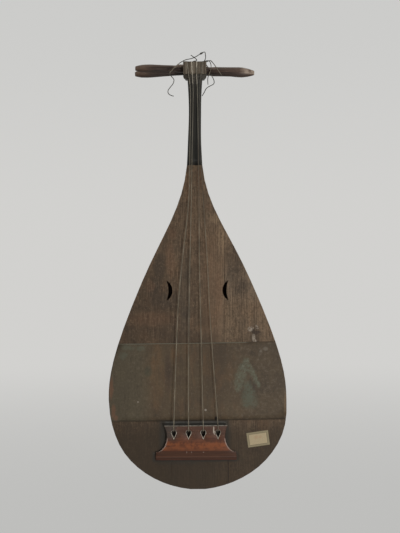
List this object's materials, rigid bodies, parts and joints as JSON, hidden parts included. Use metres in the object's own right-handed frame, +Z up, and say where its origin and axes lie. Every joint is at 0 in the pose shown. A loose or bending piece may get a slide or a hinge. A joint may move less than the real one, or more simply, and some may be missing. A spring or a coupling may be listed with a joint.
{
  "type": "biwa",
  "caption": "Pear-shaped plucked lute with a slim dark neck, a pegbox bent straight back, lateral faceted pegs, crescent sound holes, a leather plectrum band and a flared bridge.",
  "frame": {"origin": "middle of the tail's foot, in the plane where the belly is glued to the rim of the back", "axes": "+X to the viewer's right across the belly, +Y backward through the body, +Z up along the neck"},
  "size_m": [0.3586, 0.1738, 0.8898],
  "materials": {
    "belly_wood": "dry, aged, straight grained",
    "back_wood": "satin, carved",
    "dark_wood": "polished black",
    "pegbox_wood": "satin dark brown",
    "nut_wood": "dry brown",
    "peg_wood": "hand-polished reddish brown",
    "bridge_wood": "satin red-brown",
    "brace_wood": "raw softwood",
    "band_leather": "worn lacquered leather",
    "bone": "aged bone",
    "silk": "twisted waxed silk"
  },
  "bodies": {
    "root": {"back_shell": "back_wood", "belly_centre": "belly_wood", "belly_left": "belly_wood", "belly_right": "belly_wood", "plectrum_band": "band_leather", "belly_brace_1": "brace_wood", "belly_brace_2": "brace_wood", "neck": "dark_wood", "nut": "nut_wood", "pegbox": "pegbox_wood", "pegbox_curl": "pegbox_wood", "bridge": "bridge_wood", "bridge_lip_strip": "bone", "eye_rim_1": "bone", "eye_rim_2": "bone", "eye_rim_3": "bone", "eye_rim_4": "bone", "string_knot_1": "silk", "string_knot_2": "silk", "string_knot_3": "silk", "string_knot_4": "silk", "string_1": "silk", "string_2": "silk", "string_3": "silk", "string_4": "silk", "string_tail_1": "silk", "string_tail_2": "silk", "string_tail_3": "silk", "string_tail_4": "silk", "string_scrap": "silk"},
    "peg_1": {"peg_1": "peg_wood", "string_winding_1": "silk"},
    "peg_2": {"peg_2": "peg_wood", "string_winding_2": "silk"},
    "peg_3": {"peg_3": "peg_wood", "string_winding_3": "silk"},
    "peg_4": {"peg_4": "peg_wood", "string_winding_4": "silk"}
  },
  "joints": [
    {"name": "peg_1_turn", "type": "hinge", "parent": "root", "child": "peg_1", "pos_m": [0, 0.02, 0.852], "axis": [-1, 0, 0.01], "continuous": true},
    {"name": "peg_2_turn", "type": "hinge", "parent": "root", "child": "peg_2", "pos_m": [0, 0.0475, 0.8532], "axis": [0.9984, 0, -0.0563], "continuous": true},
    {"name": "peg_3_turn", "type": "hinge", "parent": "root", "child": "peg_3", "pos_m": [0, 0.075, 0.8544], "axis": [-0.9994, 0, -0.0353], "continuous": true},
    {"name": "peg_4_turn", "type": "hinge", "parent": "root", "child": "peg_4", "pos_m": [0, 0.1025, 0.8556], "axis": [0.9999, 0, 0.0106], "continuous": true}
  ]
}
